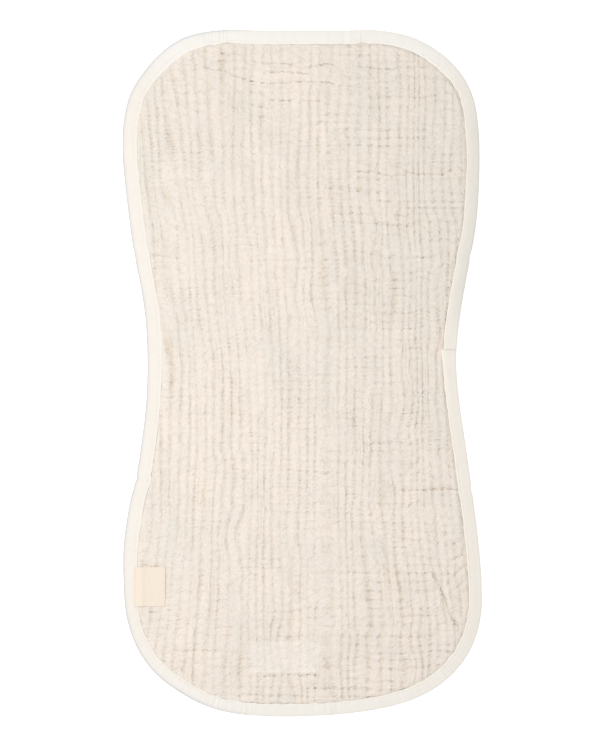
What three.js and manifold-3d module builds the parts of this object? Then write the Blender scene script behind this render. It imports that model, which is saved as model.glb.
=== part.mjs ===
// Contoured burp cloth, laid out flat: a panel of crinkled cotton muslin, a bias binding
// folded over its edge, and a small bare tab sewn on at the lower left. Millimetres, +Z up.
// The cloth lies on z = 0 with its length along Y, and the origin is under its middle.

import * as THREE from 'three';
import { mergeVertices } from 'three/addons/utils/BufferGeometryUtils.js';
import Module from 'manifold-3d';

const wasm = await Module();
wasm.setup();

// Room between two pieces that touch.
const GAP = 0.3;

// The cloth's edge at each height: how far it lies left and right of the middle line.
const SECTIONS = [
  { name: 'lower edge', y: -259.7, left: 28, right: 4 },
  { name: 'lower corners begin', y: -257, left: 55, right: 40 },
  { name: 'lower corners', y: -251, left: 75, right: 72 },
  { name: 'lower corners', y: -241, left: 93.5, right: 96.5 },
  { name: 'lower corners', y: -227, left: 111.5, right: 114.5 },
  { name: 'lower corners', y: -208, left: 125, right: 128 },
  { name: 'lower corners end', y: -184, left: 133, right: 135.2 },
  { name: 'lower lobe, widest', y: -160, left: 135.2, right: 135.8 },
  { name: 'lower lobe', y: -130, left: 135.2, right: 133.6 },
  { name: 'lower lobe', y: -100, left: 130.8, right: 130 },
  { name: 'lower fold', y: -78, left: 125.7, right: 127 },
  { name: 'flank', y: -50, left: 121.3, right: 123 },
  { name: 'flank', y: -20, left: 118, right: 118.7 },
  { name: 'waist', y: 10, left: 117.2, right: 116.5 },
  { name: 'flank', y: 40, left: 118.6, right: 119 },
  { name: 'flank', y: 66, left: 122.3, right: 123.2 },
  { name: 'upper fold', y: 88, left: 126.9, right: 127.4 },
  { name: 'upper lobe', y: 112, left: 130.4, right: 131.5 },
  { name: 'upper lobe', y: 138, left: 133.5, right: 133.6 },
  { name: 'upper lobe, widest', y: 166, left: 136, right: 134.2 },
  { name: 'upper corners begin', y: 190, left: 135.2, right: 133 },
  { name: 'upper corners', y: 212, left: 129.8, right: 128.3 },
  { name: 'upper corners', y: 230, left: 118.3, right: 117.8 },
  { name: 'upper corners', y: 244, left: 105.2, right: 102.4 },
  { name: 'upper corners', y: 254, left: 89.5, right: 84 },
  { name: 'upper corners end', y: 259.5, left: 64, right: 58 },
  { name: 'upper edge', y: 259.3, left: 25, right: 25 },
];

// Binding: a tape folded round the panel's edge, open towards the panel.
const BINDING_WIDTH = 10;
const TAPE_THICK = 0.65;
const POCKET_HEIGHT = 1.3;
const FOLD_THICK = 1.5;
const BINDING_HEIGHT = 2 * TAPE_THICK + POCKET_HEIGHT;
const BINDING_STATIONS = 116;
// The outer fold is rounded: how far in and down its bend and its shoulder reach.
const FOLD_BEND = { inset: 1.4, shoulder: 0.35, drop: 0.4 };
// The seam presses a groove into the tape beside its inner edge, and leaves a lip there.
const SEAM_INSET = 1.5;
const SEAM_DEPTH = 0.3;
const LIP_WIDTH = 0.6;
const LIP_DROP = 0.3;
// The tape's crown between the seam and the outer fold swells and sinks along the edge.
const CROWN = 0.2;
const CROWN_UNEVEN = 0.15;
// The folded end of the tape lies on its other end, on the right side above the waist.
const LAP_END_Y = 17.8;
const LAP_LENGTH = 7;
const LAP_RISE = 0.4;
const LAP_STEP = 0.4;
const SEARCH_STEPS = 4000;

// Panel: flat underneath, ribbed on top, and thinned to a flange inside the binding.
const FLANGE_HEIGHT = POCKET_HEIGHT - 2 * GAP;
const FLANGE_BOTTOM = TAPE_THICK + GAP;
const FLANGE_INSET = FOLD_THICK + GAP;
const PANEL_INSET = BINDING_WIDTH + GAP;
const VALLEY_HEIGHT = FLANGE_BOTTOM + FLANGE_HEIGHT + 0.05;
const RIB_HEIGHT = 1.35;
const RIB_PITCH = 7.6;
const CELL_LENGTH = 15;
// Shares of the rib height: at a puff, at the dip between two puffs, and in a valley.
const PUFF = { least: 0.75, spread: 0.25 };
const DIP = { least: 0.3, spread: 0.3 };
const VALLEY = { least: 0, spread: 0.18 };
// Ribs grow from nothing at the seam to their full height this far inside it.
const RIB_RUN_IN = 11;
// Ribs waver from side to side over a long and a short wave.
const WAVER = [
  { name: 'long', reach: 1.6, length: 210, drift: 80 },
  { name: 'short', reach: 0.7, length: 62, drift: 41 },
];

// Creases left by folding in three, and long folds that run down the panel. Each is a
// straight line with a soft slope on both sides: negative rise is a trough.
const CREASES = [
  { name: 'upper fold, left', x1: -124, y1: 88, x2: -20, y2: 86, slope: 6, rise: -1 },
  { name: 'upper fold, right', x1: 20, y1: 87, x2: 124, y2: 90, slope: 6, rise: -0.6 },
  { name: 'lower fold, left', x1: -124, y1: -79, x2: -60, y2: -80, slope: 5, rise: -0.9 },
  { name: 'second lower fold, left', x1: -120, y1: -93, x2: -70, y2: -94, slope: 4, rise: -0.7 },
  { name: 'lower fold, right', x1: 60, y1: -87, x2: 124, y2: -90, slope: 6, rise: -1 },
  { name: 'long fold, left', x1: -61, y1: 58, x2: -59, y2: -32, slope: 5, rise: 0.45 },
  { name: 'long fold, right', x1: 37, y1: 78, x2: 36, y2: -80, slope: 5, rise: 0.4 },
  { name: 'corner drag, right', x1: 106, y1: -160, x2: 116, y2: -192, slope: 5, rise: 0.4 },
];

// Places where the muslin is pressed flat: the level there and how much relief it keeps.
const EDGE_LEVEL = 0.45;
const FLAT_PLACES = [
  { name: 'upper patch mark', x: -3, y: 234, width: 64, height: 30, level: 0.6, keep: 0.35 },
  { name: 'lower patch mark', x: -13, y: -215.5, width: 51, height: 25, level: 0.5, keep: 0.15 },
  { name: 'under the side tab', x: -114.5, y: -160.5, width: 28, height: 34, level: 0.9, keep: 0 },
];
const FLAT_PLACE_EDGE = 5;

// The cutter that gives the panel its outline runs past its top and bottom.
const CUTTER = { bottom: -1, height: 10 };
// Points of one solid nearer than this are one point.
const SAME_POINT = 1e-4;

// Side tab: a bare strip of ribbon whose left edge overlaps the binding.
const TAB_WIDTH = 23.5;
const TAB_LENGTH = 30;
const TAB_THICK = 0.6;
const TAB_X = -114.5;
const TAB_Y = -160.5;
const TAB_LIFT = BINDING_HEIGHT + GAP;
const TAB_BOW = 0.35;
const TAB_COLUMNS = 10;
const TAB_ROWS = 8;

const COLORS = { muslin: 0xefe4d8, binding: 0xf6f1e9, tab: 0xf8ebda };

/** An even scatter of values from 0 to 1, always the same for the same two whole numbers. */
function scatter(i, j) {
  const wave = Math.sin(i * 12.9898 + j * 78.233) * 43758.5453;
  return wave - Math.floor(wave);
}

/** The closed curve of the cloth's edge, up the right side and down the left. */
function edgeCurve() {
  const rightSide = SECTIONS.map(({ y, right }) => new THREE.Vector3(right, y, 0));
  const leftSide = SECTIONS.map(({ y, left }) => new THREE.Vector3(-left, y, 0)).reverse();
  return new THREE.CatmullRomCurve3([...rightSide, ...leftSide], true, 'centripetal');
}

/** Numbers from 0 up to, but not at, 1 in even steps. */
function evenShares(count) {
  return Array.from({ length: count }, (_, i) => i / count);
}

/** Stations round the edge: even steps, and three more where one end laps the other. */
function edgeStations() {
  const curve = edgeCurve();
  const around = curve.getLength();
  const lapEnd = evenShares(SEARCH_STEPS).find((share) => curve.getPointAt(share).y > LAP_END_Y);
  const lap = [lapEnd, lapEnd + LAP_STEP / around, lapEnd + LAP_LENGTH / around];
  const shares = [...evenShares(BINDING_STATIONS), ...lap].sort((a, b) => a - b);
  const points = shares.map((share) => curve.getPointAt(share));
  const middle = new THREE.Box3().setFromPoints(points).getCenter(new THREE.Vector3());
  return points.map((point, i) => {
    const { x, y } = point.sub(middle);
    const tangent = curve.getTangentAt(shares[i]);
    const inward = new THREE.Vector2(-tangent.y, tangent.x);
    return { x, y, inward, lap: lapRise((shares[i] - lapEnd) * around) };
  });
}

/** How much the lapped end raises the tape at a distance past it: a step, then a ramp down. */
function lapRise(beyond) {
  return beyond <= 0 ? 0 : LAP_RISE * Math.max(0, 1 - beyond / LAP_LENGTH);
}

/** The edge moved inwards by a distance. */
function insetEdge(stations, distance) {
  return stations.map(({ x, y, inward }) =>
    new THREE.Vector2(x + inward.x * distance, y + inward.y * distance));
}

/** A closed mesh geometry from rows of points: each row is a ring, and the rows close too. */
function ringOfRings(rings) {
  const sides = rings[0].length;
  const positions = rings.flat().flatMap(({ x, y, z }) => [x, y, z]);
  const index = [];
  for (let i = 0; i < rings.length; i += 1) {
    const next = (i + 1) % rings.length;
    for (let j = 0; j < sides; j += 1) {
      const beside = (j + 1) % sides;
      const [a, b] = [i * sides + j, i * sides + beside];
      const [c, d] = [next * sides + beside, next * sides + j];
      index.push(a, c, b, a, d, c);
    }
  }
  const geometry = new THREE.BufferGeometry();
  geometry.setAttribute('position', new THREE.Float32BufferAttribute(positions, 3));
  geometry.setIndex(index);
  return geometry;
}

/** The section of the folded tape: inward distance and height, round from the outer fold. */
function tapeSection(crown, lap) {
  const top = BINDING_HEIGHT + lap;
  const seam = BINDING_WIDTH - SEAM_INSET;
  return [
    { inset: FOLD_BEND.inset, z: 0 },
    { inset: FOLD_BEND.shoulder, z: FOLD_BEND.drop },
    { inset: 0, z: BINDING_HEIGHT / 2 },
    { inset: FOLD_BEND.shoulder, z: top - FOLD_BEND.drop },
    { inset: FOLD_BEND.inset, z: top },
    { inset: seam / 2, z: top + crown },
    { inset: seam, z: top - SEAM_DEPTH },
    { inset: BINDING_WIDTH - LIP_WIDTH, z: top },
    { inset: BINDING_WIDTH, z: top - LIP_DROP },
    { inset: BINDING_WIDTH, z: TAPE_THICK + POCKET_HEIGHT },
    { inset: FOLD_THICK, z: TAPE_THICK + POCKET_HEIGHT },
    { inset: FOLD_THICK, z: TAPE_THICK },
    { inset: BINDING_WIDTH, z: TAPE_THICK },
    { inset: BINDING_WIDTH, z: 0 },
  ];
}

/** The binding: the tape's section carried round the cloth's edge. */
function bindingGeometry(stations) {
  const rings = stations.map(({ x, y, inward, lap }, i) => {
    const crown = CROWN + CROWN_UNEVEN * (2 * scatter(i, 3) - 1);
    return tapeSection(crown, lap).map(({ inset, z }) =>
      ({ x: x + inward.x * inset, y: y + inward.y * inset, z }));
  });
  return ringOfRings(rings);
}

/** Distance from a point to a straight stretch between two others. */
function distanceToLine(x, y, x1, y1, x2, y2) {
  const [alongX, alongY] = [x2 - x1, y2 - y1];
  const share = ((x - x1) * alongX + (y - y1) * alongY) / (alongX ** 2 + alongY ** 2);
  const held = Math.min(1, Math.max(0, share));
  return Math.hypot(x - x1 - held * alongX, y - y1 - held * alongY);
}

/** Distance from a point to the nearest part of an outline. */
function distanceToOutline(x, y, outline) {
  return outline.reduce((nearest, point, i) => {
    const next = outline[(i + 1) % outline.length];
    return Math.min(nearest, distanceToLine(x, y, point.x, point.y, next.x, next.y));
  }, Infinity);
}

/** Relief at a point after a flat place has pressed it: in full only well outside the place. */
function pressed(relief, x, y, place) {
  const outsideX = Math.abs(x - place.x) - place.width / 2;
  const outsideY = Math.abs(y - place.y) - place.height / 2;
  const clear = THREE.MathUtils.smoothstep(Math.max(outsideX, outsideY), 0, FLAT_PLACE_EDGE);
  const kept = THREE.MathUtils.lerp(place.keep, 1, clear);
  return THREE.MathUtils.lerp(place.level, relief, kept);
}

/** Sideways waver of the ribs at a point. */
function waverAt(x, y) {
  return WAVER.reduce((sum, { reach, length, drift }) =>
    sum + reach * Math.sin((2 * Math.PI * y) / length + 2 * Math.sin(x / drift)), 0);
}

/** Rise of the long creases and folds at a point. */
function creaseRise(x, y) {
  return CREASES.reduce((sum, { x1, y1, x2, y2, slope, rise }) =>
    sum + rise * Math.exp(-((distanceToLine(x, y, x1, y1, x2, y2) / slope) ** 2)), 0);
}

/** Height of the muslin's top at one grid point: even columns are valleys, odd ones ribs. */
function muslinHeight(x, y, column, row, outline) {
  const isValley = column % 2 === 0;
  const isPuff = (row + Math.floor(column / 2)) % 2 === 0;
  const onRib = isPuff ? PUFF : DIP;
  const { least, spread } = isValley ? VALLEY : onRib;
  const runIn = THREE.MathUtils.smoothstep(distanceToOutline(x, y, outline), 0, RIB_RUN_IN);
  const ribs = RIB_HEIGHT * (least + spread * scatter(column, row)) + creaseRise(x, y);
  const free = THREE.MathUtils.lerp(EDGE_LEVEL, ribs, runIn);
  const relief = FLAT_PLACES.reduce((height, place) => pressed(height, x, y, place), free);
  return VALLEY_HEIGHT + Math.max(0, relief);
}

/** A rectangular slab with the ribbed top, larger than the panel on every side. */
function ribbedSlab(outline) {
  const box = new THREE.Box2().setFromPoints(outline).expandByScalar(RIB_PITCH);
  const columns = Math.ceil((box.max.x - box.min.x) / (RIB_PITCH / 2));
  const rows = Math.ceil((box.max.y - box.min.y) / (CELL_LENGTH / 2));
  const positions = [];
  for (let row = 0; row <= rows; row += 1) {
    for (let column = 0; column <= columns; column += 1) {
      const evenX = box.min.x + column * RIB_PITCH / 2;
      const y = box.min.y + row * CELL_LENGTH / 2;
      const isRim = row === 0 || row === rows || column === 0 || column === columns;
      const x = isRim ? evenX : evenX + waverAt(evenX, y);
      positions.push(x, y, muslinHeight(x, y, column, row, outline));
    }
  }
  return slabFromTop(positions, columns, rows);
}

/** The numbers of a grid's rim points in order, anticlockwise from its first corner. */
function rimOrder(columns, rows) {
  const across = columns + 1;
  const near = Array.from({ length: columns }, (_, i) => i);
  const right = Array.from({ length: rows }, (_, i) => i * across + columns);
  const far = Array.from({ length: columns }, (_, i) => rows * across + columns - i);
  const left = Array.from({ length: rows }, (_, i) => (rows - i) * across);
  return [...near, ...right, ...far, ...left];
}

/** A closed slab under a grid of top points, with a flat bottom at z = 0. */
function slabFromTop(positions, columns, rows) {
  const across = columns + 1;
  const topCount = across * (rows + 1);
  const rim = rimOrder(columns, rows);
  const bottomRim = rim.flatMap((i) => [positions[3 * i], positions[3 * i + 1], 0]);
  const first = positions.slice(0, 2);
  const last = positions.slice(-3, -1);
  const bottomMiddle = [(first[0] + last[0]) / 2, (first[1] + last[1]) / 2, 0];
  const middle = topCount + rim.length;
  const index = [];
  for (let row = 0; row < rows; row += 1) {
    for (let column = 0; column < columns; column += 1) {
      const a = row * across + column;
      const [b, c, d] = [a + 1, a + across + 1, a + across];
      const leansRight = (row + column) % 2 === 0;
      index.push(...(leansRight ? [a, b, c, a, c, d] : [a, b, d, b, c, d]));
    }
  }
  rim.forEach((top, i) => {
    const next = (i + 1) % rim.length;
    const [below, belowNext] = [topCount + i, topCount + next];
    index.push(top, below, belowNext, top, belowNext, rim[next]);
    index.push(middle, belowNext, below);
  });
  const geometry = new THREE.BufferGeometry();
  const points = [...positions, ...bottomRim, ...bottomMiddle];
  geometry.setAttribute('position', new THREE.Float32BufferAttribute(points, 3));
  geometry.setIndex(index);
  return geometry;
}

/** A plate of an outline, from one height up to another. */
function plate(outline, bottom, height) {
  const shape = new THREE.Shape(outline);
  const geometry = new THREE.ExtrudeGeometry(shape, { depth: height, bevelEnabled: false, steps: 1 });
  return geometry.translate(0, 0, bottom);
}

/** A three.js geometry as a solid for joining and cutting. */
function toSolid(geometry) {
  const bare = geometry.clone();
  bare.deleteAttribute('normal');
  bare.deleteAttribute('uv');
  const merged = mergeVertices(bare, SAME_POINT);
  const vertProperties = new Float32Array(merged.attributes.position.array);
  const triVerts = new Uint32Array(merged.index.array);
  return new wasm.Manifold(new wasm.Mesh({ numProp: 3, vertProperties, triVerts }));
}

/** A solid back as a three.js geometry. */
function toGeometry(solid) {
  const { vertProperties, triVerts } = solid.getMesh();
  const geometry = new THREE.BufferGeometry();
  geometry.setAttribute('position', new THREE.BufferAttribute(vertProperties, 3));
  geometry.setIndex(new THREE.BufferAttribute(triVerts, 1));
  return geometry;
}

/** The panel: the ribbed slab cut to its outline, joined to its flange in the binding. */
function panelGeometry(stations) {
  const outline = insetEdge(stations, PANEL_INSET);
  const cutter = toSolid(plate(outline, CUTTER.bottom, CUTTER.height));
  const body = toSolid(ribbedSlab(outline)).intersect(cutter);
  const flange = plate(insetEdge(stations, FLANGE_INSET), FLANGE_BOTTOM, FLANGE_HEIGHT);
  return toGeometry(body.add(toSolid(flange)));
}

/** The side tab: a thin strip that bows a little along its length. */
function tabGeometry() {
  const positions = [];
  for (let row = 0; row <= TAB_ROWS; row += 1) {
    for (let column = 0; column <= TAB_COLUMNS; column += 1) {
      const across = column / TAB_COLUMNS;
      const along = row / TAB_ROWS;
      const bow = TAB_BOW * Math.sin(Math.PI * along) * Math.sin(Math.PI * across);
      positions.push((across - 0.5) * TAB_WIDTH, (along - 0.5) * TAB_LENGTH, TAB_THICK + bow);
    }
  }
  return slabFromTop(positions, TAB_COLUMNS, TAB_ROWS);
}

/** A named mesh of one piece in its own cloth. */
function piece(name, geometry, color, roughness) {
  const material = new THREE.MeshStandardMaterial({ color, roughness, metalness: 0 });
  const mesh = new THREE.Mesh(geometry, material);
  mesh.name = name;
  return mesh;
}

const stations = edgeStations();
const panel = piece('panel', panelGeometry(stations), COLORS.muslin, 0.95);
const binding = piece('binding', bindingGeometry(stations), COLORS.binding, 0.85);
const sideTab = piece('side_tab', tabGeometry(), COLORS.tab, 0.8);
sideTab.position.set(TAB_X, TAB_Y, TAB_LIFT);

const group = new THREE.Group();
group.add(panel, binding, sideTab);

export default group;
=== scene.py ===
"""Contoured burp cloth: crinkled muslin bound in bias tape, with a small ribbon tab, lying flat.

The shapes are worked out in millimetres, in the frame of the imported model, and become metres
when they are put into a mesh. "Inset" is the distance inwards from the outline of the cloth,
and "along" the distance round it, anticlockwise from the lap of the binding.
"""

import math
from collections import namedtuple

import bpy
import numpy as np
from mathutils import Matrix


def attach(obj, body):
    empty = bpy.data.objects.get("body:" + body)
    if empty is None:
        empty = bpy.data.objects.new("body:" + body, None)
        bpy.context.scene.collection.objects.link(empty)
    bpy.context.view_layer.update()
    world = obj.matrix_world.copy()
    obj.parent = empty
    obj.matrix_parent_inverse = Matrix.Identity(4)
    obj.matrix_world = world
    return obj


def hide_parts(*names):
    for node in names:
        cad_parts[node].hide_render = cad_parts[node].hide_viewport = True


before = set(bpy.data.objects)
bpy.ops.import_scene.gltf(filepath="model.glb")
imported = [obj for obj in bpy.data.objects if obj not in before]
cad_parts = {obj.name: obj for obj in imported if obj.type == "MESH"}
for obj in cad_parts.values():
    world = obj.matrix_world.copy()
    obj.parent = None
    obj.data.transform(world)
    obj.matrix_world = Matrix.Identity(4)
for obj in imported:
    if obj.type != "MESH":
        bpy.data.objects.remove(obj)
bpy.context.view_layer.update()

bl_info = {
    "name": "Contoured burp cloth",
    "version": (1, 0, 0),
    "blender": (4, 5, 0),
    "location": "3D View > Sidebar > Burp cloth",
    "description": "Dresses the packed burp cloth in crinkled muslin, bias tape, ribbon and thread",
    "category": "Object",
}

MM = 0.001

# Heights above the surface that the cloth lies on, in millimetres.
EDGE_HEIGHT = 1.3
POCKET_TOP = 1.65
POCKET_BOTTOM = 0.72
VALLEY_TOP = 1.75

# The lap of the binding, on the right side.
LAP_Y = 17.8
LAP_UNDER = 8.0

# How far inside the outline the muslin's own edge lies, hidden in the fold of the tape.
MUSLIN_INSET = 4.0

# Points round the cloth's outline, steps in each span of it, and the size of the noises' lattices
# before they repeat.
OUTLINE_POINTS = 1600
SPAN_STEPS = 60
LATTICE = 256

# Marks where two patches are sewn on the other side: middle, size and how flat the muslin is.
Mark = namedtuple("Mark", "x y width height flatness")
LOWER_MARK = Mark(-12.9, -215.2, 51.5, 23.0, 0.72)
UPPER_MARK = Mark(-4.0, 232.0, 68.0, 34.0, 0.45)

# The main creases: each is a soft trough of that depth and width along a few straight runs.
Crease = namedtuple("Crease", "depth width points")
CREASES = [Crease(*row) for row in (
    # Ripples near the upper mark.
    (0.55, 1.4, ((-67.0, 237.0), (-53.5, 236.8))),
    (0.50, 1.5, ((-77.2, 231.8), (-60.6, 229.5), (-38.2, 220.4), (7.6, 220.0), (26.5, 219.0))),
    (0.50, 1.5, ((-33.3, 234.8), (-3.8, 233.8))),
    (0.65, 1.5, ((3.0, 232.4), (17.4, 233.3), (28.0, 231.8))),
    (0.60, 1.5, ((-26.5, 228.5), (8.0, 226.7))),
    (0.50, 1.5, ((-63.0, 243.2), (-42.4, 241.2))),
    (0.45, 1.5, ((-27.6, 207.6), (17.4, 206.4))),
    (0.45, 1.5, ((36.3, 232.5), (59.8, 230.0), (74.2, 231.0), (99.0, 232.5))),
    (0.35, 1.4, ((48.1, 225.3), (67.4, 226.5))),
    (0.35, 1.4, ((50.7, 219.4), (71.9, 220.5))),
    (0.40, 1.6, ((68.0, 209.5), (81.0, 208.3), (93.1, 209.1), (104.9, 212.3))),
    (0.25, 1.5, ((-112.8, 201.0), (-96.0, 200.5))),
    (0.25, 1.5, ((-58.3, 201.5), (-37.0, 200.5))),
    # Rows that run further than the rest.
    (0.30, 1.5, ((86.0, 172.0), (107.3, 172.0))),
    (0.50, 1.6, ((38.6, 153.0), (55.3, 151.9), (62.1, 150.0), (76.5, 149.6), (81.0, 151.9),
                 (109.8, 150.0))),
    (0.25, 1.5, ((-44.0, 180.8), (-20.0, 180.0))),
    (0.30, 1.5, ((36.3, 114.0), (81.0, 113.0))),
    (0.30, 1.6, ((38.6, 52.5), (78.7, 52.5))),
    (0.25, 1.6, ((-103.7, -6.7), (-62.0, -11.3))),
    # The two lines where the cloth was folded in three.
    (0.40, 1.8, ((-120.0, 89.5), (-90.0, 87.5))),
    (0.22, 1.8, ((-45.0, 85.5), (18.0, 84.5))),
    (0.50, 1.8, ((81.0, 88.6), (101.4, 88.0))),
    (0.20, 1.8, ((-115.0, -80.9), (-77.2, -86.2))),
    (0.20, 1.8, ((-115.0, -92.2), (-77.0, -96.0))),
    (0.55, 1.9, ((71.9, -88.6), (84.0, -88.9), (93.1, -88.0), (110.0, -87.2), (124.0, -89.5))),
    # Slanted ones low on the right.
    (0.40, 2.2, ((48.1, -115.7), (61.3, -127.8), (63.6, -139.5), (65.9, -168.0), (68.1, -186.8))),
    (0.65, 2.2, ((97.7, -149.0), (104.0, -160.0), (110.0, -176.0), (113.5, -186.8), (119.6, -194.4))),
    (0.50, 1.5, ((110.0, -130.8), (122.6, -126.2))),
    (0.50, 1.5, ((112.0, -142.6), (123.3, -135.4))),
    (0.50, 1.5, ((113.5, -154.4), (124.1, -145.9))),
    (0.45, 1.5, ((113.3, -165.0), (124.1, -156.5))),
    # Pulled threads above and below the tab.
    (0.60, 1.3, ((-122.0, -145.5), (-103.5, -146.0))),
    (0.35, 1.3, ((-119.0, -179.4), (-103.0, -180.6))),
    # Dashes below the lower mark and to its left.
    (0.50, 1.3, ((-38.2, -229.2), (-13.6, -228.4), (13.6, -229.0))),
    (0.42, 1.5, ((-98.4, -209.3), (-56.0, -210.3))),
    (0.42, 1.5, ((-97.0, -217.6), (-72.7, -220.6))),
)]

# Places on the outline where the old folds dent the tape: x, y, how far in and over what reach.
Kink = namedtuple("Kink", "x y push reach")
KINKS = [Kink(*row) for row in (
    (-126.0, -79.4, 0.9, 3.0),
    (127.0, -88.0, 0.8, 3.0),
    (127.5, 88.0, 0.6, 3.5),
    (-127.0, 88.5, 0.4, 4.0),
    (112.6, -10.8, 0.3, 3.0),
)]

# Where the tape is gathered more than elsewhere: x, y, reach and strength.
Gather = namedtuple("Gather", "x y reach strength")
GATHERS = [Gather(*row) for row in (
    (-62.8, 256.0, 11.0, 1.0),
    (38.6, 256.0, 12.0, 0.7),
    (-64.6, -247.0, 8.0, 1.0),
    (-42.0, -253.0, 14.0, 0.6),
    (20.0, -256.0, 20.0, 0.5),
    (-95.0, -230.0, 30.0, 0.3),
    (95.0, -225.0, 40.0, 0.35),
    (-120.0, 215.0, 35.0, 0.3),
    (120.0, 215.0, 35.0, 0.3),
)]
GATHER_GAIN = 3.5

# The outside of the folded tape, from its lower inner edge round the outline to its upper one.
TAPE_PROFILE = np.array((
    (10.0, 0.05), (9.6, 0.0), (8.5, 0.12), (7.6, 0.0), (4.0, 0.0), (1.6, 0.0), (0.75, 0.18),
    (0.2, 0.62), (0.0, 1.25), (0.15, 1.75), (0.6, 2.12), (1.5, 2.34), (3.2, 2.5), (5.0, 2.64),
    (6.8, 2.74), (7.8, 2.73), (8.4, 2.60), (9.0, 2.78), (9.5, 2.80), (9.9, 2.60), (10.0, 2.30),
))
TAPE_PLY = 0.5

# The seams: how far inside the outline the binding's runs, the heights of their stitches, and
# each kind of stitch: its length over the pitch, its thickness over the thread's, and its arch.
SEAM_INSET = 8.5
SEAM_TOP, SEAM_UNDER = 2.62, 0.2
MARK_SEAM_HEIGHT = 2.15
TAB_SEAM_PITCH = 2.2
Stitch = namedtuple("Stitch", "length thickness arch")
TOP_STITCH = Stitch(0.84, 1.0, 0.06)
UNDER_STITCH = Stitch(0.84, 0.8, -0.02)
TAB_STITCH = Stitch(1.8 / TAB_SEAM_PITCH, 0.8, 0.08)
MARK_STITCH = Stitch(0.8, 0.85, 0.1)

# The ribbon tab.
TAB_LEFT, TAB_RIGHT = -126.9, -103.4
TAB_BOTTOM, TAB_TOP = -176.6, -146.6
TAB_HEIGHT = 2.92
TAB_SEAM_INSET = 1.0

# The stage: half the floor in millimetres, then the lamp, the camera's sensor in millimetres,
# the middle of the view and the height of the cloth's own middle, all else in metres.
FLOOR_HALF = 20000.0
LAMP_SIZE = 0.7
LAMP_PLACE = (-0.50, 0.06, 1.15)
SENSOR_WIDTH = 36.0
VIEW_CENTRE = (-0.0015, -0.0014)
CLOTH_MIDDLE = 0.002


# Noise, curves and meshes

def smooth_step(value, low, high):
    """0 below low, 1 above high, and the cubic 3t^2 - 2t^3 between them."""
    t = np.clip((value - low) / (high - low), 0.0, 1.0)
    return t * t * (3.0 - 2.0 * t)


def bell(value, middle, width):
    """1 at the middle and less to both sides: exp(-t^2), t the distance from it over the width."""
    return np.exp(-((value - middle) / width) ** 2)


def soft_noise(x, y, size_x, size_y, seed):
    """Smooth hills from -1 to 1: random heights on a lattice of that size, which has no point at
    the cloth's middle, blended between its points by the quintic ease 6t^5 - 15t^4 + 10t^3 along
    x and along y."""
    heights = np.random.default_rng(seed).uniform(-1.0, 1.0, (LATTICE, LATTICE))
    u = np.asarray(x, float) / size_x + 64.37
    v = np.asarray(y, float) / size_y + 64.73
    i, j = np.floor(u).astype(int), np.floor(v).astype(int)
    u, v = u - i, v - j
    u = u ** 3 * (u * (6.0 * u - 15.0) + 10.0)
    v = v ** 3 * (v * (6.0 * v - 15.0) + 10.0)
    i0, i1 = i % LATTICE, (i + 1) % LATTICE
    j0, j1 = j % LATTICE, (j + 1) % LATTICE
    low = heights[i0, j0] * (1.0 - u) + heights[i1, j0] * u
    high = heights[i0, j1] * (1.0 - u) + heights[i1, j1] * u
    return low * (1.0 - v) + high * v


def hills(x, y, seed, *rows):
    """A sum of soft noises. Each row gives a weight, the hills' size along x and along y, and what
    is added to the seed."""
    return sum(weight * soft_noise(x, y, size_x, size_y, seed + step)
               for weight, size_x, size_y, step in rows)


def line_noise(along, size, seed):
    """Smooth hills of that size along a line, the same all across it."""
    return soft_noise(along, along * 0.0, size, 5.0, seed)


def per_cell(i, j, seed):
    """One random number from 0 to 1 for each pair of whole numbers."""
    numbers = np.random.default_rng(seed).uniform(0.0, 1.0, (LATTICE, LATTICE))
    return numbers[i.astype(int) % LATTICE, j.astype(int) % LATTICE]


def smooth_loop(points, count):
    """A closed curve through the points, as count points evenly apart. Each span is a cubic, and
    its slope at a point is the chord between the two neighbours over their distance along."""
    ahead = np.roll(points, -1, axis=0)
    span = np.linalg.norm(ahead - points, axis=1)[:, None]
    slope = (ahead - np.roll(points, 1, axis=0)) / (span + np.roll(span, 1, axis=0))
    t = np.linspace(0.0, 1.0, SPAN_STEPS, endpoint=False)[None, :, None]
    span = span[:, None]
    fine = ((2 * t ** 3 - 3 * t ** 2 + 1) * points[:, None]
            + (t ** 3 - 2 * t ** 2 + t) * span * slope[:, None]
            + (3 * t ** 2 - 2 * t ** 3) * ahead[:, None]
            + (t ** 3 - t ** 2) * span * np.roll(slope, -1, axis=0)[:, None])
    return even_loop(fine.reshape(-1, 2), count)


def distance_along(path):
    """How far along a polyline each of its points lies."""
    return np.concatenate(([0.0], np.cumsum(np.linalg.norm(np.diff(path, axis=0), axis=1))))


def even_points(path, count, endpoint=True):
    """The same polyline, as count points evenly apart along it."""
    along = distance_along(path)
    places = np.linspace(0.0, along[-1], count, endpoint=endpoint)
    return np.column_stack([np.interp(places, along, path[:, k]) for k in (0, 1)])


def closed(loop):
    """A loop with its first point once more at the end."""
    return np.vstack((loop, loop[:1]))


def even_loop(loop, count):
    """The same closed polyline, as count points evenly apart along it."""
    return even_points(closed(loop), count, endpoint=False)


def inward_normals(loop):
    """Unit vectors to the left of an anticlockwise loop, from the chord over two points each way."""
    chord = np.roll(loop, -2, axis=0) - np.roll(loop, 2, axis=0)
    chord /= np.linalg.norm(chord, axis=1)[:, None]
    return np.column_stack((-chord[:, 1], chord[:, 0]))


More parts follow.
